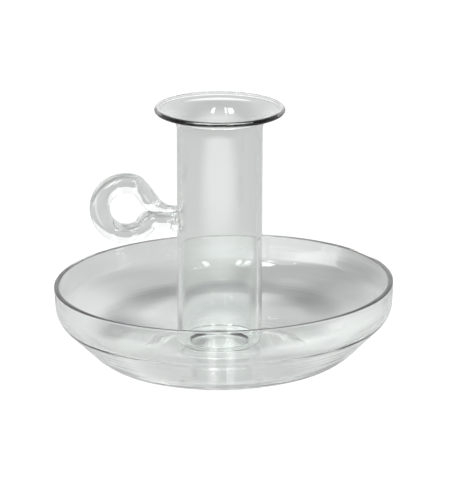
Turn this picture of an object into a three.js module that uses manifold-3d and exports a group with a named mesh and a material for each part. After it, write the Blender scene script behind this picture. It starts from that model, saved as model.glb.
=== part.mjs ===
// A chamberstick of clear borosilicate glass, worked in the flame from three pieces:
// a shallow dish with a rolled rim, a candle tube with a flared lip, and a ring handle bent from rod.
// On the real one flame seals join them. Here each seal is a seat with a clearance, and a bead of
// glass round it.
// Millimetres, +Z up. The origin is on the table under the middle of the dish.
import * as THREE from 'three';
import { mergeVertices } from 'three/addons/utils/BufferGeometryUtils.js';
import Module from 'manifold-3d';

const wasm = await Module();
wasm.setup();

// Dish, measured on its outside
const FOOT_R = 33.0; // outer edge of the flat ring that it stands on
const FOOT_WIDTH = 4.5;
const BASE_BEND = 16.2; // big bend from the foot up into the cone
const CONE_ANGLE = THREE.MathUtils.degToRad(45);
const CREASE_R = 55.3; // where the cone turns into the upright band
const CREASE_BEND = 2.6;
const BAND_HEIGHT = 10.0; // from the crease to the middle of the rim bead
const BAND_FLARE = THREE.MathUtils.degToRad(3.6);
const DISH_WALL = 1.6;
const RIM_BEAD_R = 0.9; // rounding of the rim, a little fatter than the wall
const KICK_UP = 2.5; // how far the middle of the base is pushed up
const KICK_R = 20.0; // edge of the raised middle, which stays flat for the tube
const KICK_BEND = 9.0;

// Candle tube
const TUBE_R = 14.0;
const TUBE_WALL = 1.6;
const TUBE_OFFSET = -1.9; // its axis misses the dish's centre by this much at table height
const TUBE_LEAN = THREE.MathUtils.degToRad(1.23); // and leans over to the right
const TUBE_NOD = THREE.MathUtils.degToRad(0.9); // and a little to the front
const LIP_R = 21.3; // outermost edge of the flared lip
const LIP_Z = 84.6; // height of the lip bead's middle
const LIP_BEAD_R = 0.85;
const FLARE_ANGLE = THREE.MathUtils.degToRad(15); // how far the lip is from level
const FLARE_BEND = 5.2;

// Seal between the tube's foot and the dish
const SEAT_GAP = 0.3; // clearance at every seat
const SEAT_RISE = 0.4; // the flat that a candle stands on, above the floor round it
const SEAT_MARGIN = 2.4; // from that flat's edge to the tube's bore
const SEAL_HEIGHT = 1.8;
const SEAL_WIDTH = 2.4;
const SEAL_HOLLOW = 0.75; // share of its smaller side that its hollow outside takes

// Ring handle, bent from one rod. Its loop stands upright, in the tube's own plane.
const LOOP_REACH = 16.7; // from the tube's wall to the loop's centre
const LOOP_Z = 51.0;
const LOOP_R = 8.6; // of the rod's centre line
const LOOP_ROD_R = 3.35; // the rod is fattest round the loop
const LOOP_FATTENS = 0.5; // share of the loop over which it gets there
const LOOP_START = -42; // degrees at the loop's centre, where the stem runs into it
const LOOP_END = -290; // and where the free end leaves it
const LOOP_STATIONS = 10;
const LOOP_PRESSED = 0.87; // share of LOOP_R that is left where the free end bends down
const STEM_Z = 47.1;
const STEM_LENGTH = 6.8;
const STEM_ROD_R = 2.75;
const STEM_FOOT_R = 3.5; // spread of the stem where it is sealed to the tube
const STEM_FOOT_LENGTH = 0.8;
const STEM_TAPER = 2.4; // from the spread foot to the plain rod
const STEM_SAG = 0.3; // of the foot, while it was soft
const TIP_ROD_R = 2.0; // the free end is drawn thinner and pressed into the stem
const TIP_PATH = [[1.25, 1.8], [0.85, 1.05], [0.47, 0.65], [0.12, 0.45]]; // in stem lengths and stem radii

// Fineness of the faces
const TURN_SEGMENTS = 64;
const BEND_STEP = THREE.MathUtils.degToRad(12);
const BEAD_STEP = THREE.MathUtils.degToRad(36);
const ROD_SIDES = 16;
const STEPS_PER_SPAN = 3;

function toSolid(geometry) {
  const bare = geometry.clone();
  bare.deleteAttribute('normal');
  bare.deleteAttribute('uv');
  const merged = mergeVertices(bare, 1e-5);
  const index = merged.index.array;
  const kept = [];
  for (let i = 0; i < index.length; i += 3) {
    const [a, b, c] = index.slice(i, i + 3);
    if (a !== b && b !== c && c !== a) kept.push(a, b, c);
  }
  return new wasm.Manifold(new wasm.Mesh({
    numProp: 3,
    vertProperties: Float32Array.from(merged.attributes.position.array),
    triVerts: Uint32Array.from(kept),
  }));
}

function toGeometry(solid) {
  const { vertProperties, triVerts } = solid.getMesh();
  const geometry = new THREE.BufferGeometry();
  geometry.setAttribute('position', new THREE.BufferAttribute(vertProperties, 3));
  geometry.setIndex(new THREE.BufferAttribute(triVerts, 1));
  geometry.computeVertexNormals();
  return geometry;
}

// Turns a profile of radius and height round +Z.
function turned(profile) {
  return toSolid(new THREE.LatheGeometry(profile, TURN_SEGMENTS).rotateX(Math.PI / 2));
}

function leftOf(direction) {
  return new THREE.Vector2(-direction.y, direction.x);
}

// Points of an arc from start, which turns off direction by turn. A positive turn is to the left.
function arc(start, direction, radius, turn, step) {
  const toCentre = leftOf(direction).multiplyScalar(Math.sign(turn) * radius);
  const centre = start.clone().add(toCentre);
  const count = Math.max(1, Math.ceil(Math.abs(turn) / step - 1e-6));
  const points = [];
  for (let i = 0; i <= count; i++) points.push(start.clone().rotateAround(centre, (turn * i) / count));
  return points;
}

// Follows the corners of a wall's outside, moved to the left by inset, with each corner bent.
function wallSide(corners, inset) {
  const along = corners.slice(1).map((corner, i) => corner.at.clone().sub(corners[i].at).normalize());
  const points = [];
  corners.forEach(({ at, bend = 0 }, i) => {
    const before = along[Math.max(0, i - 1)];
    const after = along[Math.min(i, along.length - 1)];
    const across = leftOf(before).add(leftOf(after));
    const moved = at.clone().addScaledVector(across, inset / (1 + before.dot(after)));
    const turn = Math.atan2(before.cross(after), before.dot(after));
    const radius = bend - inset * Math.sign(turn);
    if (bend === 0) {
      points.push(moved);
      return;
    }
    const start = moved.addScaledVector(before, -radius * Math.tan(Math.abs(turn) / 2));
    points.push(...arc(start, before, radius, turn, BEND_STEP));
  });
  return points;
}

// The round bead on a wall's edge, from its outside to its inside.
function edgeBead(lastCorner, direction, wall, beadR) {
  const centre = lastCorner.clone().addScaledVector(leftOf(direction), wall / 2);
  const hidden = Math.asin(wall / 2 / beadR);
  const from = new THREE.Vector2(-beadR, 0).rotateAround(new THREE.Vector2(), direction.angle() + hidden);
  const sweep = 2 * (Math.PI - hidden);
  const count = Math.ceil(sweep / BEAD_STEP);
  const points = [];
  for (let i = 0; i <= count; i++) {
    points.push(from.clone().rotateAround(new THREE.Vector2(), (sweep * i) / count).add(centre));
  }
  return points;
}

// A wall's whole section: up its outside, round the bead and back down its inside.
function wallSection(corners, wall, beadR) {
  const last = corners.at(-1).at;
  const direction = last.clone().sub(corners.at(-2).at).normalize();
  return [
    ...wallSide(corners, 0).slice(0, -1),
    ...edgeBead(last, direction, wall, beadR),
    ...wallSide(corners, wall).slice(0, -1).reverse(),
  ];
}

// Dish
const floorZ = KICK_UP + DISH_WALL;
const coneFootR = FOOT_R + BASE_BEND * Math.tan(CONE_ANGLE / 2);
const creaseZ = (CREASE_R - coneFootR) * Math.tan(CONE_ANGLE);

function dishShell() {
  const rim = new THREE.Vector2(CREASE_R + BAND_HEIGHT * Math.tan(BAND_FLARE), creaseZ + BAND_HEIGHT);
  return turned(wallSection([
    { at: new THREE.Vector2(0, KICK_UP) },
    { at: new THREE.Vector2(KICK_R, KICK_UP), bend: KICK_BEND },
    { at: new THREE.Vector2(FOOT_R - FOOT_WIDTH, 0), bend: KICK_BEND },
    { at: new THREE.Vector2(coneFootR, 0), bend: BASE_BEND },
    { at: new THREE.Vector2(CREASE_R, creaseZ), bend: CREASE_BEND },
    { at: rim },
  ], DISH_WALL, RIM_BEAD_R));
}

// The glass that ran out round the tube's foot, hollow on its outside.
function sealRing() {
  const innerR = TUBE_R + SEAT_GAP;
  const hollow = Math.min(SEAL_HEIGHT, SEAL_WIDTH) * SEAL_HOLLOW;
  const root = floorZ - DISH_WALL / 2;
  const crest = new THREE.Vector2(innerR + SEAL_WIDTH - hollow, floorZ + SEAL_HEIGHT);
  const inner = [new THREE.Vector2(innerR, root), new THREE.Vector2(innerR, floorZ + SEAL_HEIGHT)];
  const outside = arc(crest.clone().setY(floorZ + hollow), new THREE.Vector2(0, -1), hollow, Math.PI / 2, BEND_STEP);
  const profile = [...inner, crest, ...outside, new THREE.Vector2(innerR + SEAL_WIDTH, root)].reverse();
  return turned([...profile, profile[0].clone()]);
}

// The flat inside the tube that the candle stands on.
function candleSeat() {
  const radius = TUBE_R - TUBE_WALL - SEAT_MARGIN;
  const height = SEAT_RISE + DISH_WALL / 2;
  const seat = new THREE.CylinderGeometry(radius, radius, height, TURN_SEGMENTS);
  return toSolid(seat.rotateX(Math.PI / 2).translate(0, 0, floorZ + SEAT_RISE - height / 2));
}

// The tube and the handle are made in a frame that leans with them.
const tubeFrame = new THREE.Group();
tubeFrame.position.x = TUBE_OFFSET;
tubeFrame.rotation.set(TUBE_NOD, TUBE_LEAN, 0);
tubeFrame.updateMatrix();

const foot = new THREE.Vector3(0, 0, floorZ).applyMatrix4(tubeFrame.matrix);
const dishSolid = dishShell()
  .add(sealRing().translate([foot.x, foot.y, 0]))
  .add(candleSeat().translate([foot.x, foot.y, 0]));

// Candle tube
function tubeShell() {
  const flat = new THREE.Vector2(Math.cos(FLARE_ANGLE), Math.sin(FLARE_ANGLE));
  const bead = new THREE.Vector2(LIP_R - LIP_BEAD_R, LIP_Z);
  const lip = bead.clone().addScaledVector(leftOf(flat), -TUBE_WALL / 2);
  const turnZ = lip.y - (lip.x - TUBE_R) * Math.tan(FLARE_ANGLE);
  const section = wallSection([
    { at: new THREE.Vector2(TUBE_R, 0) },
    { at: new THREE.Vector2(TUBE_R, turnZ), bend: FLARE_BEND },
    { at: lip },
  ], TUBE_WALL, LIP_BEAD_R);
  return turned([...section, section[0].clone()]);
}

// The foot is trimmed level with the floor, although the tube leans.
function belowFoot() {
  const size = 4 * TUBE_R;
  const block = new THREE.BoxGeometry(size, size, size).translate(0, 0, floorZ + SEAT_GAP - size / 2);
  return toSolid(block.applyMatrix4(tubeFrame.matrix.clone().invert()));
}

const tubeSolid = tubeShell().subtract(belowFoot());

// Ring handle, in the tube's frame. Each station's y holds the rod's radius there.
const loopCentreX = -(TUBE_R + LOOP_REACH);

function stemStation(reach, radius, rise) {
  return new THREE.Vector3(-(TUBE_R + reach), radius, STEM_Z + rise);
}

function loopStation(degrees, radius, share = 1) {
  const angle = THREE.MathUtils.degToRad(degrees);
  const out = LOOP_R * share;
  return new THREE.Vector3(loopCentreX + out * Math.cos(angle), radius, LOOP_Z + out * Math.sin(angle));
}

const stemStations = [
  stemStation(-TUBE_WALL, STEM_FOOT_R, -STEM_SAG),
  stemStation(STEM_FOOT_LENGTH, STEM_FOOT_R, -STEM_SAG),
  stemStation(STEM_FOOT_LENGTH + STEM_TAPER, STEM_ROD_R, 0),
  stemStation(STEM_LENGTH, STEM_ROD_R, 0),
];
// From the stem the rod runs under the loop, up its far side and over the top.
const loopStations = Array.from({ length: LOOP_STATIONS }, (_, i) => {
  const share = i / (LOOP_STATIONS - 1);
  const radius = THREE.MathUtils.lerp(STEM_ROD_R, LOOP_ROD_R, Math.min(1, share / LOOP_FATTENS));
  return loopStation(THREE.MathUtils.lerp(LOOP_START, LOOP_END, share), radius);
});
// Then it bends down to the stem and thins out as it sinks into it.
const bendDown = loopStation(LOOP_END - Math.abs(LOOP_START - LOOP_END) / LOOP_STATIONS, 0, LOOP_PRESSED);
const tipStations = [
  bendDown,
  ...TIP_PATH.map(([along, up]) => stemStation(along * STEM_LENGTH, 0, up * STEM_ROD_R)),
].map((station, i, all) => station.setY(THREE.MathUtils.lerp(LOOP_ROD_R, TIP_ROD_R, (i + 1) / all.length)));

// A round rod through stations that all lie in one upright plane.
function rod(stations, tangents) {
  const across = new THREE.Vector3(0, 1, 0);
  const position = [];
  stations.forEach((station, i) => {
    const up = across.clone().cross(tangents[i]);
    for (let j = 0; j < ROD_SIDES; j++) {
      const angle = (2 * Math.PI * j) / ROD_SIDES;
      const point = new THREE.Vector3(station.x, 0, station.z)
        .addScaledVector(up, station.y * Math.cos(angle))
        .addScaledVector(across, station.y * Math.sin(angle));
      position.push(point.x, point.y, point.z);
    }
  });
  const index = [];
  const lastRing = (stations.length - 1) * ROD_SIDES;
  for (let j = 0; j < ROD_SIDES; j++) {
    const next = (j + 1) % ROD_SIDES;
    for (let ring = 0; ring < lastRing; ring += ROD_SIDES) {
      index.push(ring + j, ring + next, ring + ROD_SIDES + next);
      index.push(ring + j, ring + ROD_SIDES + next, ring + ROD_SIDES + j);
    }
    if (j > 0 && j < ROD_SIDES - 1) {
      index.push(0, next, j);
      index.push(lastRing, lastRing + j, lastRing + next);
    }
  }
  const geometry = new THREE.BufferGeometry();
  geometry.setAttribute('position', new THREE.Float32BufferAttribute(position, 3));
  geometry.setIndex(index);
  return toSolid(geometry);
}

// The rod is lofted in two halves that share the loop's top, so that its free end can fuse with its stem.
function handleRod() {
  const controls = [...stemStations, ...loopStations, ...tipStations];
  const curve = new THREE.CatmullRomCurve3(controls, false, 'centripetal');
  const stations = curve.getPoints((controls.length - 1) * STEPS_PER_SPAN);
  const tangents = stations.map((_, i) => {
    const ahead = stations[Math.min(i + 1, stations.length - 1)];
    return ahead.clone().sub(stations[Math.max(i - 1, 0)]).setY(0).normalize();
  });
  const top = (stemStations.length + loopStations.length - 2) * STEPS_PER_SPAN;
  const lower = rod(stations.slice(0, top + 1), tangents.slice(0, top + 1));
  const upper = rod(stations.slice(top), tangents.slice(top));
  return lower.add(upper);
}

// The stem's foot is hollowed to sit against the tube's wall.
function handleSeat() {
  const radius = TUBE_R + SEAT_GAP;
  const seat = new THREE.CylinderGeometry(radius, radius, LOOP_Z, TURN_SEGMENTS).rotateX(Math.PI / 2);
  return toSolid(seat.translate(0, 0, STEM_Z));
}

const handleSolid = handleRod().subtract(handleSeat());

// Clear glass with the faint grey of its thickness
const glass = new THREE.MeshStandardMaterial({
  color: 0xdfe3e3,
  roughness: 0.03,
  metalness: 0,
  transparent: true,
  opacity: 0.35,
});

function piece(name, solid) {
  const mesh = new THREE.Mesh(toGeometry(solid), glass.clone());
  mesh.name = name;
  return mesh;
}

tubeFrame.add(piece('candle_tube', tubeSolid), piece('ring_handle', handleSolid));

const chamberstick = new THREE.Group();
chamberstick.add(piece('dish', dishSolid), tubeFrame);

export default chamberstick;
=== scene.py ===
# %% [markdown]
# # A chamberstick of clear glass
#
# The real one is three pieces of borosilicate glass that were sealed together in the flame: a shallow dish, a candle
# tube with a flared lip, and a ring handle bent from rod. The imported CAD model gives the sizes. Here each piece is
# modelled again with fine, smooth walls, because clear glass shows every facet as a bright or dark line.

# %% Load the frame
import math

import bpy
from mathutils import Matrix, Vector


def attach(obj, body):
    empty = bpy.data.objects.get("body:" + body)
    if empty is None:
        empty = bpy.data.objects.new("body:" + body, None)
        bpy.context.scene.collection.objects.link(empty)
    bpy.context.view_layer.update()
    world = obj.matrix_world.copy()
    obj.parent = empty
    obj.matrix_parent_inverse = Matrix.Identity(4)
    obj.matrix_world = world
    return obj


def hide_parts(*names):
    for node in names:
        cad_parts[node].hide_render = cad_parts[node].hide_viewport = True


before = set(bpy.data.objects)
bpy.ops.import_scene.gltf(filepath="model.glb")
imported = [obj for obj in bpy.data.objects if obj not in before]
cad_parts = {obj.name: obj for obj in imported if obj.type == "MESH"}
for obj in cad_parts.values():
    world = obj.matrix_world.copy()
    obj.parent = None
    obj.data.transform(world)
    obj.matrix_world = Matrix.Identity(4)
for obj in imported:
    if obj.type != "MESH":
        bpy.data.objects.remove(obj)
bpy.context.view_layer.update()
MM = 0.001

# %% [markdown]
# ## The sizes that the pieces share
#
# They are the CAD model's driving sizes, in millimetres. The tube and the handle stand in one leaning frame, as a
# handmade one does, so one matrix carries both. Where two pieces of glass meet, a gap of a fiftieth of a millimetre
# stays between them. It is too thin to show, and it keeps each piece a closed body of glass with air round it,
# which is what the renderer needs to bend light rightly.

# %% Sizes and the tube's frame
TUBE_R = 14.0
TUBE_WALL = 1.6
TUBE_OFFSET = -1.9
TUBE_LEAN = math.radians(1.23)
TUBE_NOD = math.radians(0.9)
FLOOR_Z = 4.1
HAIR_GAP = 0.02

tube_frame = (
    Matrix.Translation((TUBE_OFFSET * MM, 0, 0))
    @ Matrix.Rotation(TUBE_NOD, 4, "X")
    @ Matrix.Rotation(TUBE_LEAN, 4, "Y")
)
print("The tube leans over by", round(85 * math.tan(TUBE_LEAN), 2), "mm from foot to lip")

# %% [markdown]
# ## The camera
#
# It stands a metre off and looks down by 16 degrees. A camera so far away needs a long lens, and keeps the tube's
# sides nearly parallel. The picture was taken with a slight roll, so the camera has it too.
#
# Light that enters a thick edge is thrown about inside it many times before it comes out. With the usual few bounces
# such an edge turns black, so the scene allows more of them. Mirror bounces are counted on their own, and are raised
# too.

# %% Camera
CAMERA_DISTANCE = 1000.0
CAMERA_ELEVATION = math.radians(16.345)
CAMERA_ROLL = math.radians(1.151)
LOOKED_AT = Vector((0, 0, 35.0))
AIM = Vector((0.7, 0, 37.2))
LENS = 220.1
SENSOR = 36.0
SEES_UP_TO = 20.0
GLASS_BOUNCES = 20
MIRROR_BOUNCES = 12

back = Vector((0, -math.cos(CAMERA_ELEVATION), math.sin(CAMERA_ELEVATION)))
stand = (LOOKED_AT + back * CAMERA_DISTANCE) * MM
bpy.ops.object.camera_add(location=stand)
camera = bpy.context.object
camera.name = "camera"
camera.rotation_mode = "QUATERNION"
level = (AIM * MM - stand).to_track_quat("-Z", "Y")
camera.rotation_quaternion = level @ Matrix.Rotation(-CAMERA_ROLL, 4, "Z").to_quaternion()
camera.data.lens = LENS
camera.data.sensor_width = SENSOR
camera.data.clip_end = SEES_UP_TO
scene = bpy.context.scene
scene.camera = camera
scene.view_settings.view_transform = "Standard"
scene.cycles.max_bounces = GLASS_BOUNCES
scene.cycles.glossy_bounces = MIRROR_BOUNCES
scene.cycles.transmission_bounces = GLASS_BOUNCES
print("Camera at", [round(value, 3) for value in stand], "with a lens of", LENS, "mm")

# %% [markdown]
# ## Drawing a wall's section
#
# All glass that is turned in the hand starts as a section. It is drawn as one would draw it in edit mode: one
# vertex, extruded to the next corner, and spun about a centre where the wall bends. Exact arcs matter in glass,
# because a bend that is only nearly round gives a broken highlight. Long straight stretches get points too, so
# that the smooth shading of a bend doesn't run out into them.

# %% Helpers for drawing a section
STRETCH = 1.2
BEND_STEP = math.radians(4)
MERGE_WITHIN = 0.002


def deselect():
    bpy.ops.object.select_all(action="DESELECT")


def start_section(name, start):
    deselect()
    bpy.ops.mesh.primitive_plane_add(size=MM)
    drawn = bpy.context.object
    drawn.name = name
    bpy.ops.object.mode_set(mode="EDIT")
    bpy.ops.mesh.select_all(action="SELECT")
    bpy.ops.mesh.merge(type="CENTER")
    bpy.ops.transform.translate(value=(start.x * MM, 0, start.y * MM))
    return drawn


def line_to(here, there):
    steps = max(1, round((there - here).length / STRETCH))
    step = (there - here) / steps
    for _ in range(steps):
        bpy.ops.mesh.extrude_region_move(TRANSFORM_OT_translate={"value": (step.x * MM, 0, step.y * MM)})
    return there


def left_of(direction):
    return Vector((-direction.y, direction.x))


def bend(here, direction, radius, turn):
    """Spins the last vertex through a turn, to the left where it is positive, and gives where it ends."""
    centre = here + left_of(direction) * math.copysign(radius, turn)
    steps = max(1, math.ceil(abs(turn) / BEND_STEP))
    bpy.ops.mesh.spin(steps=steps, angle=turn, center=(centre.x * MM, 0, centre.y * MM), axis=(0, 1, 0))
    return centre + Matrix.Rotation(turn, 2) @ (here - centre)


print("A bend of 90 degrees gets", math.ceil(math.radians(90) / BEND_STEP), "steps")

# %% [markdown]
# A wall has two sides that run next to each other. Its outside is given by its corners and by how far each is
# rounded. Its inside is the same line moved in by the wall's thickness, with each bend's radius made smaller or
# larger by that much.
#
# The flame melts an open edge in one of two ways, and the edge's roundness tells them apart. Under half of the wall,
# the edge stays flat and only its corners are round, as on the dish's rim. Over half of it, the edge has drawn
# together to a bead a little thicker than the wall, as on the tube's lip.

# %% Helpers for a whole wall


def wall_bends(corners, inset):
    """Where a wall's side starts and ends each bend, on the line through corners moved to the left by inset."""
    along = [(after[0] - before[0]).normalized() for before, after in zip(corners, corners[1:])]
    bends = []
    for i, (at, radius) in enumerate(corners):
        before, after = along[max(0, i - 1)], along[min(i, len(along) - 1)]
        moved = at + (left_of(before) + left_of(after)) * (inset / (1 + before.dot(after)))
        turn = before.angle_signed(after, 0) * -1
        bent = radius - math.copysign(inset, turn) if radius else 0
        reach = bent * math.tan(abs(turn) / 2)
        bends.append((moved - before * reach, before, moved + after * reach, after, bent, turn))
    return bends


def draw_wall(name, corners, wall, edge_r):
    """Draws a wall's whole section: up its outside, round its melted edge and down its inside."""
    here = wall_bends(corners, 0)[0][0]
    drawn = start_section(name, here)
    for start, direction, _, _, radius, turn in wall_bends(corners, 0)[1:-1]:
        here = line_to(here, start)
        if radius:
            here = bend(here, direction, radius, turn)
    edge = corners[-1][0]
    direction = (edge - corners[-2][0]).normalized()
    if edge_r < wall / 2:
        here = line_to(here, edge - direction * edge_r)
        here = bend(here, direction, edge_r, math.pi / 2)
        here = line_to(here, here + left_of(direction) * (wall - 2 * edge_r))
        here = bend(here, left_of(direction), edge_r, math.pi / 2)
    else:
        centre = edge + left_of(direction) * wall / 2
        hidden = math.asin(wall / 2 / edge_r)
        sweep = 2 * (math.pi - hidden)
        first = centre + Matrix.Rotation(hidden, 2) @ (direction * -edge_r)
        here = line_to(here, first)
        here = bend(here, left_of(centre - first) * -1 / edge_r, edge_r, sweep)
    for _, _, end, direction, radius, turn in wall_bends(corners, wall)[-2:0:-1]:
        here = line_to(here, end)
        if radius:
            here = bend(here, direction * -1, radius, -turn)
    return drawn, here


def turn_section(drawn, steps):
    """Spins a section once round the upright axis, and closes its seam and its poles."""
    bpy.ops.mesh.select_all(action="SELECT")
    bpy.ops.mesh.spin(steps=steps, angle=2 * math.pi, center=(0, 0, 0), axis=(0, 0, 1))
    bpy.ops.mesh.select_all(action="SELECT")
    bpy.ops.mesh.remove_doubles(threshold=MERGE_WITHIN * MM)
    bpy.ops.mesh.normals_make_consistent(inside=False)
    bpy.ops.object.mode_set(mode="OBJECT")
    bpy.ops.object.shade_smooth()
    print(drawn.name, "has", len(drawn.data.polygons), "faces")


# %% [markdown]
# ## The dish
#
# The dish is blown, then spun in the flame and opened out, so it is a solid of revolution: a base that is pushed up
# in the middle to stand on a ring, a rounded edge, a cone of 45 degrees, a crease, and a band that flares a little
# to a rim that is melted flat. Its section goes once round with the spin tool. The crease is a soft bend, because
# glass that folds while it is hot never folds sharply. The band flares less than the CAD model's, whose rim is a
# bead, since with a flat edge it would otherwise stand outside the CAD model's box.

# %% Dish
FOOT_R = 33.0
FOOT_WIDTH = 4.5
BASE_BEND = 16.2
CONE_SLOPE = math.radians(45)
CREASE_R = 55.6
CREASE_BEND = 8.5
BAND_HEIGHT = 10.2
BAND_FLARE = math.radians(2.4)
DISH_WALL = 1.6
RIM_CORNER_R = 0.45
KICK_UP = 2.5
KICK_R = 20.0
KICK_BEND = 9.0
DISH_STEPS = 256

cone_foot = FOOT_R + BASE_BEND * math.tan(CONE_SLOPE / 2)
crease_z = (CREASE_R - cone_foot) * math.tan(CONE_SLOPE)
rim = Vector((CREASE_R + BAND_HEIGHT * math.tan(BAND_FLARE), crease_z + BAND_HEIGHT))
dish, here = draw_wall(
    "dish_of_blown_glass",
    [
        (Vector((0, KICK_UP)), 0),
        (Vector((KICK_R, KICK_UP)), KICK_BEND),
        (Vector((FOOT_R - FOOT_WIDTH, 0)), KICK_BEND),
        (Vector((cone_foot, 0)), BASE_BEND),
        (Vector((CREASE_R, crease_z)), CREASE_BEND),
        (rim, 0),
    ],
    DISH_WALL,
    RIM_CORNER_R,
)
line_to(here, Vector((0, FLOOR_Z)))
turn_section(dish, DISH_STEPS)

# %% [markdown]
# ## The candle tube
#
# It is a length of drawn tubing. Its mouth was opened out nearly flat with a reamer in the flame, which is why the
# lip meets the tube in a tight bend, and the lip's edge was melted to a bead. Its foot was drawn in a little and
# sealed down on the dish, so it is rounded inwards. The dish's floor closes it.

# %% Candle tube
LIP_R = 21.3
LIP_Z = 84.55
LIP_BEAD_R = 0.85
FLARE_ANGLE = math.radians(15)
FLARE_BEND = 5.2
FOOT_BEND = 3.6
FOOT_IN_R = 9.6
FOOT_RISE = 0.3
TUBE_STEPS = 192

flat = Vector((math.cos(FLARE_ANGLE), math.sin(FLARE_ANGLE)))
lip = Vector((LIP_R - LIP_BEAD_R, LIP_Z)) - left_of(flat) * TUBE_WALL / 2
turn_z = lip.y - (lip.x - TUBE_R) * math.tan(FLARE_ANGLE)
foot_z = FLOOR_Z + HAIR_GAP + FOOT_RISE
tube, here = draw_wall(
    "candle_tube_of_drawn_glass",
    [
        (Vector((FOOT_IN_R, foot_z)), 0),
        (Vector((TUBE_R, foot_z)), FOOT_BEND),
        (Vector((TUBE_R, turn_z)), FLARE_BEND),
        (lip, 0),
    ],
    TUBE_WALL,
    LIP_BEAD_R,
)
here = line_to(here, Vector((FOOT_IN_R, foot_z + TUBE_WALL)))
line_to(here, Vector((FOOT_IN_R, foot_z)))
turn_section(tube, TUBE_STEPS)
tube.data.transform(tube_frame)

# %% [markdown]
# ## The ring handle
#
# It is one solid rod, bent round in the flame until its end lies on its own start. Each station gives a point on
# the rod's middle line and how thick it is there: the spread foot on the tube, the stem, the fat loop, and the free
# end, which runs out thin along the top of the stem. A Bezier curve with a round bevel follows the stations, since
# a curve carries a different thickness at each point.

# %% The rod's stations
LOOP_REACH = 16.7
LOOP_Z = 51.0
LOOP_R = 8.6
LOOP_ROD_R = 3.35
BEND_ROD_R = 3.3
STEM_Z = 47.1
STEM_LENGTH = 6.8
STEM_ROD_R = 2.75
STEM_FOOT_R = 3.7
LOOP_START = -47
LOOP_TURN = -243
LOOP_POINTS = 10
FATTENS_WITHIN = 0.3

loop_x = -(TUBE_R + LOOP_REACH)


def on_loop(degrees):
    angle = math.radians(degrees)
    return Vector((loop_x + LOOP_R * math.cos(angle), 0, LOOP_Z + LOOP_R * math.sin(angle)))


def on_stem(reach, rise):
    return Vector((-(TUBE_R + reach), 0, STEM_Z + rise))


stations = [
    (on_stem(-TUBE_WALL, -0.3), STEM_FOOT_R),
    (on_stem(0.4, -0.3), STEM_FOOT_R),
    (on_stem(1.4, -0.1), 2.9),
    (on_stem(3.2, 0), STEM_ROD_R),
    (on_stem(STEM_LENGTH, 0), STEM_ROD_R),
    (on_stem(9.6, -0.4), 3.3),
]
for i in range(LOOP_POINTS):
    share = i / (LOOP_POINTS - 1)
    fatness = BEND_ROD_R + (LOOP_ROD_R - BEND_ROD_R) * min(1, share / FATTENS_WITHIN)
    stations.append((on_loop(LOOP_START + LOOP_TURN * share), fatness))
for reach, rise, fatness in [
    (12.5, 11.1, 3.0),
    (10.3, 8.6, 2.9),
    (8.45, 6.1, 3.05),
    (6.5, 4.85, 2.35),
    (4.9, 4.3, 1.7),
    (3.5, 4.0, 1.35),
    (1.5, 3.85, 1.1),
    (-1.0, 3.8, 1.1),
]:
    stations.append((on_stem(reach, rise), fatness))
print("The rod has", len(stations), "stations")

# %% Bend the rod along them
STEPS_ALONG = 10
STEPS_ROUND = 12

deselect()
bpy.ops.curve.primitive_bezier_curve_add()
handle = bpy.context.object
handle.name = "ring_handle_of_glass_rod"
bpy.ops.object.mode_set(mode="EDIT")
bpy.ops.curve.select_all(action="SELECT")
bpy.ops.curve.delete(type="VERT")
bpy.ops.object.mode_set(mode="OBJECT")
spline = handle.data.splines.new("BEZIER")
spline.bezier_points.add(len(stations) - 1)
for point, (place, radius) in zip(spline.bezier_points, stations):
    point.co = place * MM
    point.radius = radius
    point.handle_left_type = point.handle_right_type = "AUTO"
handle.data.dimensions = "3D"
handle.data.resolution_u = STEPS_ALONG
handle.data.bevel_depth = MM
handle.data.bevel_resolution = STEPS_ROUND
handle.data.use_fill_caps = True
handle.data.twist_mode = "MINIMUM"
bpy.ops.object.convert(target="MESH")
handle = bpy.context.object
print("The bent rod has", len(handle.data.polygons), "faces")

# %% [markdown]
# Where the free end lies on the stem, the two have melted into one. A voxel remesh does the same: it makes one skin
# round both. A few rounds of smoothing then take its fine steps away, as the flame does, and leave the groove
# between the two rods.

# %% Melt the free end into the stem
VOXEL = 0.15
POLISH_ROUNDS = 40

bpy.ops.object.mode_set(mode="EDIT")
bpy.ops.mesh.select_all(action="SELECT")
bpy.ops.mesh.remove_doubles(threshold=MERGE_WITHIN * MM)
bpy.ops.mesh.normals_make_consistent(inside=False)
bpy.ops.object.mode_set(mode="OBJECT")
melt = handle.modifiers.new("melt together", "REMESH")
melt.mode = "VOXEL"
melt.voxel_size = VOXEL * MM
bpy.ops.object.modifier_apply(modifier=melt.name)
soften = handle.modifiers.new("fire polish", "SMOOTH")
soften.iterations = POLISH_ROUNDS
bpy.ops.object.modifier_apply(modifier=soften.name)
print("The melted rod has", len(handle.data.polygons), "faces")

# %% [markdown]
# The rod's foot is sealed to the tube's round side, so it is cut to that round with a boolean, a hair's breadth
# larger than the tube.

# %% Seat the handle on the tube
CUTTER_LENGTH = 40
SMOOTH_BELOW = math.radians(35)

deselect()
bpy.ops.mesh.primitive_cylinder_add(
    vertices=TUBE_STEPS,
    radius=(TUBE_R + HAIR_GAP) * MM,
    depth=CUTTER_LENGTH * MM,
    location=(0, 0, STEM_Z * MM),
)
cutter = bpy.context.object
deselect()
handle.select_set(True)
bpy.context.view_layer.objects.active = handle
cut = handle.modifiers.new("seat on the tube", "BOOLEAN")
cut.operation = "DIFFERENCE"
cut.object = cutter
cut.solver = "EXACT"
bpy.ops.object.modifier_apply(modifier=cut.name)
bpy.data.objects.remove(cutter)
bpy.ops.object.shade_smooth_by_angle(angle=SMOOTH_BELOW)
handle.data.transform(tube_frame)
print(handle.name, "has", len(handle.data.polygons), "faces")

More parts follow.
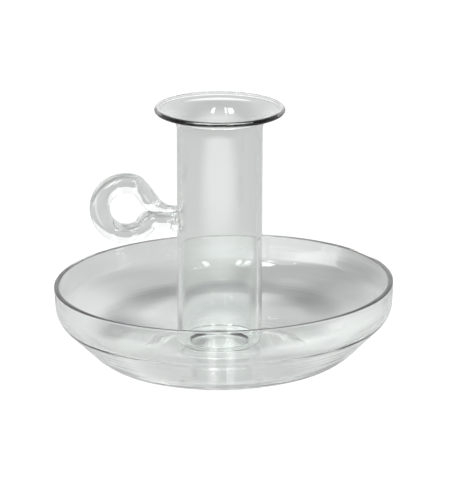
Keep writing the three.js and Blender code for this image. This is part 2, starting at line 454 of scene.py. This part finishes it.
# %% [markdown]
# ## Building materials
#
# One small function adds a node with its settings and its links, and another turns a colour as it is written on a
# screen into the linear one that the renderer counts with.

# %% Helpers for materials


def linear(hex_colour):
    channels = [int(hex_colour[i : i + 2], 16) / 255 for i in (1, 3, 5)]
    return [c / 12.92 if c <= 0.04045 else ((c + 0.055) / 1.055) ** 2.4 for c in channels] + [1]


def add(tree, kind, settings=None, links=None):
    """Adds one node, sets its properties or input values, and links its inputs from other nodes' outputs."""
    node = tree.nodes.new(kind)
    for key, value in (settings or {}).items():
        if isinstance(key, int) or key in node.inputs:
            node.inputs[key].default_value = value
        else:
            setattr(node, key, value)
    for key, source in (links or {}).items():
        tree.links.new(source, node.inputs[key])
    return node


def new_material(name):
    material = bpy.data.materials.new(name)
    material.use_nodes = True
    material.node_tree.nodes.clear()
    return material, material.node_tree


print("A mid grey of #808080 is", round(linear("#808080")[0], 3), "in linear light")

# %% [markdown]
# ## Clear borosilicate glass
#
# Borosilicate has an index of refraction of 1.473 and next to no colour. Fire-polished glass is perfectly smooth to
# the touch, so its roughness is 0, and what the eye sees on it is how its surface rises and falls by a few
# hundredths of a millimetre. The three pieces share this finish and differ in that waviness, which is their height.
#
# A lamp's light would need caustics to come through glass, and they take long to render cleanly. So a shadow ray
# goes straight through each surface instead and loses a fifth of its light there, and nearly all of it where the
# surface is seen edge on. That gives the soft, dark-edged shadow that glass throws.

# %% The shared finish
GLASS_COLOUR = "#fbfdfc"
GLASS_IOR = 1.473
SHADOW_FACE_ON = 0.80
EDGE_POWER = 3.0


def clear_glass(material, tree, height, depth):
    """Finishes a material as clear glass, wavy by the given height pattern and depth in mm."""
    bump = add(tree, "ShaderNodeBump", {"Strength": 1.0, "Distance": depth * MM}, {"Height": height})
    clear = add(
        tree,
        "ShaderNodeBsdfPrincipled",
        {"Base Color": linear(GLASS_COLOUR), "Roughness": 0.0, "IOR": GLASS_IOR, "Transmission Weight": 1.0},
        {"Normal": bump.outputs["Normal"]},
    )
    edge_on = add(tree, "ShaderNodeLayerWeight", {"Blend": 0.5})
    steep = add(tree, "ShaderNodeMath", {"operation": "POWER", 1: EDGE_POWER}, {0: edge_on.outputs["Facing"]})
    shade = add(tree, "ShaderNodeMapRange", {"To Min": SHADOW_FACE_ON, "To Max": 0.0}, {"Value": steep.outputs[0]})
    lets_by = add(tree, "ShaderNodeBsdfTransparent", {}, {"Color": shade.outputs[0]})
    ray = add(tree, "ShaderNodeLightPath")
    mixed = add(
        tree,
        "ShaderNodeMixShader",
        {},
        {0: ray.outputs["Is Shadow Ray"], 1: clear.outputs[0], 2: lets_by.outputs[0]},
    )
    add(tree, "ShaderNodeOutputMaterial", {}, {"Surface": mixed.outputs[0]})
    return material


print("Glass reflects", round(((GLASS_IOR - 1) / (GLASS_IOR + 1)) ** 2 * 100, 1), "% face on")

# %% [markdown]
# ### The dish's ripples
#
# A dish that is spun in the flame keeps fine rings, like those on thrown pottery. They run round its axis, so the
# pattern is a noise in one dimension, read by the distance out from the axis plus the height. That sum grows all
# the way along the section, from the middle to the rim.

# %% Blown glass, spun in the flame
RIPPLE = 3.2
RIPPLE_DEPTH = 0.035

material, tree = new_material("blown borosilicate glass, spun in the flame")
place = add(tree, "ShaderNodeTexCoord")
split = add(tree, "ShaderNodeSeparateXYZ", {}, {0: place.outputs["Object"]})
level_place = add(tree, "ShaderNodeVectorMath", {"operation": "MULTIPLY", 1: (1, 1, 0)}, {0: place.outputs["Object"]})
out = add(tree, "ShaderNodeVectorMath", {"operation": "LENGTH"}, {0: level_place.outputs[0]})
along = add(tree, "ShaderNodeMath", {"operation": "ADD"}, {0: out.outputs["Value"], 1: split.outputs["Z"]})
rings = add(
    tree,
    "ShaderNodeTexNoise",
    {"noise_dimensions": "1D", "Scale": 1 / (RIPPLE * MM), "Detail": 1.0, "Roughness": 0.5},
    {"W": along.outputs[0]},
)
dish.data.materials.clear()
dish.data.materials.append(clear_glass(material, tree, rings.outputs["Fac"], RIPPLE_DEPTH))
print("Ripples every", RIPPLE, "mm or so,", RIPPLE_DEPTH, "mm deep")

# %% [markdown]
# ### The tube's draw lines
#
# Tubing is drawn out of the furnace lengthwise, and its unevenness is stretched along it. A noise that is squeezed
# to a seventh along the tube's length gives such long, faint lines.

# %% Drawn tubing
DRAW_LINE = 8.3
DRAW_SQUEEZE = 0.15
DRAW_DEPTH = 0.04

material, tree = new_material("drawn borosilicate tubing")
place = add(tree, "ShaderNodeTexCoord")
stretched = add(tree, "ShaderNodeMapping", {"Scale": (1, 1, DRAW_SQUEEZE)}, {"Vector": place.outputs["Object"]})
lines = add(
    tree, "ShaderNodeTexNoise", {"Scale": 1 / (DRAW_LINE * MM), "Detail": 1.0}, {"Vector": stretched.outputs[0]}
)
tube.data.materials.clear()
tube.data.materials.append(clear_glass(material, tree, lines.outputs["Fac"], DRAW_DEPTH))
print("Draw lines", DRAW_LINE, "mm apart and", round(DRAW_LINE / DRAW_SQUEEZE), "mm long")

# %% [markdown]
# ### The rod's flow
#
# Rod that is bent by hand in the flame stays a little uneven all over, since it flows as it is turned. Its waves
# are wide and very shallow, so that they only make its highlights wander.

# %% Flame-worked rod
FLOW_WAVE = 7.1
FLOW_DEPTH = 0.02

material, tree = new_material("flame-worked borosilicate rod")
place = add(tree, "ShaderNodeTexCoord")
flow = add(
    tree, "ShaderNodeTexNoise", {"Scale": 1 / (FLOW_WAVE * MM), "Detail": 1.0}, {"Vector": place.outputs["Object"]}
)
handle.data.materials.clear()
handle.data.materials.append(clear_glass(material, tree, flow.outputs["Fac"], FLOW_DEPTH))
print("Waves", FLOW_WAVE, "mm wide and", FLOW_DEPTH, "mm deep")

# %% [markdown]
# ## Hand the pieces to the frame
#
# Nothing on a chamberstick moves, so all three ride on the one body. Each stands for its CAD node.

# %% Ride and replace
for piece, node in [(dish, "dish"), (tube, "candle_tube"), (handle, "ring_handle")]:
    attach(piece, "root")
    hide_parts(node)
    print(piece.name, "stands for", node)

# %% [markdown]
# ## The paper floor
#
# Clear glass has no look of its own. What shows in it is the floor and the room behind it, so the floor matters as
# much as the glass. It is a sheet of pale paper. To the camera it glows white, and still takes a shadow. What the
# glass shows of it is the light grey that such paper has in a studio, with a sixth of the white glow.
#
# Light that comes down through a glass dish lies on the paper in soft rings and patches, darker under the bends and
# brighter between them. They are painted in the paper's tone as soft-edged ovals, only for the rays that the glass
# sends there, because the renderer's own caustics are slow to settle. They aren't computed. Their places and tones
# were set by comparing pictures with the photograph from this one camera, so from other sides they are no more than
# likely. Each has a middle and a reach in millimetres, how hollow it is (0 for a full oval, 1 for a ring), where its
# edge starts and ends, and its tone.

# %% The patches of light and shade
FLOOR_SIZE = 4.0
FLOOR_DROP = 0.05
PATCHES = {
    "under the dish": ((0, 15), (34, 55), 0, 0.7, 1.15, 0.73),
    "under the front": ((8, -20), (40, 10), 0, 0.4, 1.3, 0.88),
    "round the tube's foot": ((0, 18), (14, 32), 0, 0.3, 1.2, 1.75),
    "floor of the tube": ((1, 6), (10, 10), 0, 0.5, 1.2, 1.30),
    "ring of the base": ((0, 44), (34.4, 34.4), 1, 0.06, 0.32, 0.66),
    "back, to the left": ((-28, 84), (24, 22), 0, 0.4, 1.25, 0.82),
    "back, to the right": ((30, 88), (42, 20), 0, 0.4, 1.25, 0.74),
    "far right": ((52, 98), (14, 30), 0, 0.3, 1.3, 0.80),
    "right end of the ring": ((38, 60), (22, 26), 0, 0.2, 1.3, 0.61),
    "left end of the ring": ((-38, 32), (9, 18), 0, 0.2, 1.3, 0.64),
    "shade at the right": ((42, 52), (18, 22), 0, 0.3, 1.3, 0.87),
    "shade at the left": ((-24, 68), (14, 14), 0, 0.3, 1.3, 0.87),
    "shade behind the foot": ((23, 57), (9, 8), 0, 0.3, 1.3, 0.84),
    "shade under the front, right": ((26, -18), (13, 8), 0, 0.3, 1.3, 0.80),
    "shade under the front, left": ((-27, -11), (10, 8), 0, 0.3, 1.3, 0.88),
    "shade under the cone": ((34, 3), (9, 8), 0, 0.3, 1.3, 0.88),
    "light at the back crease": ((33, 112), (14, 9), 0, 0.3, 1.3, 1.25),
    "light behind the foot": ((24, 78), (9, 8), 0, 0.3, 1.3, 1.18),
    "light low in the tube": ((1, 95), (8, 12), 0, 0.3, 1.3, 1.12),
    "light at the left": ((-31, 46), (8, 8), 0, 0.3, 1.3, 1.16),
    "shade at the far left": ((-39, 24), (7, 9), 0, 0.3, 1.3, 0.82),
    "light by the foot, right": ((24, 8), (11, 14), 0, 0.3, 1.3, 1.60),
    "light by the foot, left": ((-22, 14), (12, 14), 0, 0.3, 1.3, 1.25),
    "light under the front": ((-10, -33), (42, 5.5), 0, 0.3, 1.3, 1.45),
    "light behind the tube": ((-1.5, 250), (21, 150), 0, 0.3, 1.15, 1.33),
    "light behind the band": ((14, 126), (34, 20), 0, 0.3, 1.3, 1.25),
    "left bar of light": ((-4.3, -3), (1.7, 38), 0, 0.5, 1.2, 1.35),
    "right bar of light": ((2.0, -3), (1.7, 38), 0, 0.5, 1.2, 1.35),
    "far paper": ((0, 400), (350, 600), 0, 0.6, 1.3, 0.78),
}

deselect()
bpy.ops.mesh.primitive_plane_add(size=FLOOR_SIZE, location=(0, 0, -FLOOR_DROP * MM))
floor = bpy.context.object
floor.name = "studio_floor"
print(len(PATCHES), "patches of light and shade")

# %% Paint them
material, tree = new_material("pale studio paper")
place = add(tree, "ShaderNodeTexCoord")
painted = add(tree, "ShaderNodeMath", {"operation": "ADD", 0: 1.0, 1: 0.0})
for (middle_x, middle_y), (reach_x, reach_y), hollow, edge_from, edge_to, tone in PATCHES.values():
    middle = (middle_x * MM, middle_y * MM, 0)
    reach = (reach_x * MM, reach_y * MM, 1)
    moved = add(tree, "ShaderNodeVectorMath", {"operation": "SUBTRACT", 1: middle}, {0: place.outputs["Object"]})
    scaled = add(tree, "ShaderNodeVectorMath", {"operation": "DIVIDE", 1: reach}, {0: moved.outputs[0]})
    away = add(tree, "ShaderNodeVectorMath", {"operation": "LENGTH"}, {0: scaled.outputs[0]})
    inner = add(tree, "ShaderNodeMath", {"operation": "SUBTRACT", 1: hollow}, {0: away.outputs["Value"]})
    off = add(tree, "ShaderNodeMath", {"operation": "ABSOLUTE"}, {0: inner.outputs[0]})
    soft = add(
        tree,
        "ShaderNodeMapRange",
        {"interpolation_type": "SMOOTHSTEP", "From Min": edge_from, "From Max": edge_to, "To Min": tone},
        {"Value": off.outputs[0]},
    )
    painted = add(tree, "ShaderNodeMath", {"operation": "MULTIPLY"}, {0: painted.outputs[0], 1: soft.outputs[0]})
print("The paper's tone has", len(tree.nodes), "nodes so far")

# %% [markdown]
# The camera sees the paper by Light Path's Is Camera Ray: a strong glow and little of the light that falls on it,
# so that it is white but for the object's shadow. Is Glossy Ray and Is Transmission Ray bring a share of the same
# glow into the glass.

# %% The paper for the camera and for the glass
GLOW = 0.8
GLASS_SHARE = 0.17
PAPER_TONE = 0.60
SHADOW_TONE = 0.25

ray = add(tree, "ShaderNodeLightPath")
by_glass = add(
    tree,
    "ShaderNodeMath",
    {"operation": "MAXIMUM"},
    {0: ray.outputs["Is Glossy Ray"], 1: ray.outputs["Is Transmission Ray"]},
)
seen = add(
    tree,
    "ShaderNodeMath",
    {"operation": "MULTIPLY_ADD", 1: GLASS_SHARE},
    {0: by_glass.outputs[0], 2: ray.outputs["Is Camera Ray"]},
)
glow = add(tree, "ShaderNodeMath", {"operation": "MULTIPLY", 1: GLOW}, {0: seen.outputs[0]})
grey = add(tree, "ShaderNodeMath", {"operation": "MULTIPLY", 1: PAPER_TONE}, {0: painted.outputs[0]})
glow_tone = add(
    tree, "ShaderNodeMapRange", {"To Max": 1.0}, {"Value": ray.outputs["Is Camera Ray"], "To Min": painted.outputs[0]}
)
paper_tone = add(
    tree,
    "ShaderNodeMapRange",
    {"To Max": SHADOW_TONE},
    {"Value": ray.outputs["Is Camera Ray"], "To Min": grey.outputs[0]},
)
shine = add(tree, "ShaderNodeEmission", {}, {"Color": glow_tone.outputs[0], "Strength": glow.outputs[0]})
paper = add(tree, "ShaderNodeBsdfDiffuse", {}, {"Color": paper_tone.outputs[0]})
both = add(tree, "ShaderNodeAddShader", {}, {0: shine.outputs[0], 1: paper.outputs[0]})
add(tree, "ShaderNodeOutputMaterial", {}, {"Surface": both.outputs[0]})
floor.data.materials.append(material)
print("The paper is white to the camera, and", GLOW * GLASS_SHARE, "of its light in the glass is glow")

# %% [markdown]
# ## The studio
#
# The room is lit softly from behind and from above, by a diffuser, and is dim on the camera's side. That dim side is
# what gives glass its dark edges. To the camera the background is white, which is again Is Camera Ray, with a share
# for the rays that come through the glass.

# %% The room's light
BACK_LIGHT = 1.0
FRONT_LIGHT = 0.15
CEILING_LIGHT = 0.25
BACK_FADE = (-0.2, 0.6)
CEILING_FADE = (0.35, 0.75)

world = bpy.data.worlds.new("studio")
scene.world = world
world.use_nodes = True
tree = world.node_tree
tree.nodes.clear()
direction = add(tree, "ShaderNodeTexCoord")
split = add(tree, "ShaderNodeSeparateXYZ", {}, {0: direction.outputs["Generated"]})
from_back = add(
    tree,
    "ShaderNodeMapRange",
    {
        "interpolation_type": "SMOOTHSTEP",
        "From Min": BACK_FADE[0],
        "From Max": BACK_FADE[1],
        "To Min": FRONT_LIGHT,
        "To Max": BACK_LIGHT,
    },
    {"Value": split.outputs["Y"]},
)
from_above = add(
    tree,
    "ShaderNodeMapRange",
    {
        "interpolation_type": "SMOOTHSTEP",
        "From Min": CEILING_FADE[0],
        "From Max": CEILING_FADE[1],
        "To Min": 0.0,
        "To Max": CEILING_LIGHT,
    },
    {"Value": split.outputs["Z"]},
)
total = add(tree, "ShaderNodeMath", {"operation": "ADD"}, {0: from_back.outputs[0], 1: from_above.outputs[0]})
studio = add(tree, "ShaderNodeBackground", {"Color": (1, 1, 1, 1)}, {"Strength": total.outputs[0]})
white = add(tree, "ShaderNodeBackground", {"Color": (1, 1, 1, 1), "Strength": 1.0})
ray = add(tree, "ShaderNodeLightPath")
by_glass = add(
    tree,
    "ShaderNodeMath",
    {"operation": "MAXIMUM"},
    {0: ray.outputs["Is Glossy Ray"], 1: ray.outputs["Is Transmission Ray"]},
)
seen = add(
    tree,
    "ShaderNodeMath",
    {"operation": "MULTIPLY_ADD", 1: GLASS_SHARE},
    {0: by_glass.outputs[0], 2: ray.outputs["Is Camera Ray"]},
)
mixed = add(tree, "ShaderNodeMixShader", {}, {0: seen.outputs[0], 1: studio.outputs[0], 2: white.outputs[0]})
add(tree, "ShaderNodeOutputWorld", {}, {"Surface": mixed.outputs[0]})
print("The room is", FRONT_LIGHT, "in front,", BACK_LIGHT, "behind and", CEILING_LIGHT, "more above")

# %% [markdown]
# ## The windows
#
# Three tall window panes stand behind the camera. They throw the shadow on the paper and show as small bright marks
# in the lip, the ring and the crease. A lamp as bright as that would flood the glass with white specks, so each pane
# is two area lights in one place: a lamp that lights the paper and isn't looked for by rays that leave the glass,
# and a dimmer card that only the glass sees.

# %% Window panes
WINDOW_FAR = 2.0
CARD_BEHIND = 0.01
PANE_HEIGHT = 1.1
PANE_ELEVATION = 36
GLEAM = 9.0
PANES = {
    "middle pane": (-17.75, 0.19, 24),
    "left pane": (-34, 0.46, 8),
    "right pane": (21, 0.24, 6),
}


def area_light(name, place, width, height, power):
    """Adds an area light that faces the object."""
    deselect()
    bpy.ops.object.light_add(type="AREA", location=place)
    lamp = bpy.context.object
    lamp.name = name
    lamp.data.shape = "RECTANGLE"
    lamp.data.size = width
    lamp.data.size_y = height
    lamp.data.energy = power
    lamp.rotation_mode = "QUATERNION"
    lamp.rotation_quaternion = (-place).to_track_quat("-Z", "Y")
    lamp.visible_camera = False
    return lamp


for name, (azimuth, width, power) in PANES.items():
    a, e = math.radians(azimuth), math.radians(PANE_ELEVATION)
    toward = Vector((math.sin(a) * math.cos(e), -math.cos(a) * math.cos(e), math.sin(e)))
    lamp = area_light(name, toward * WINDOW_FAR, width, PANE_HEIGHT, power)
    lamp.data.cycles.use_multiple_importance_sampling = False
    card_power = GLEAM * math.pi * width * PANE_HEIGHT
    card = area_light(name + " gleam", toward * (WINDOW_FAR + CARD_BEHIND), width, PANE_HEIGHT, card_power)
    card.visible_diffuse = False
    print(name, "throws", power, "W, and its gleam is", GLEAM, "times white")
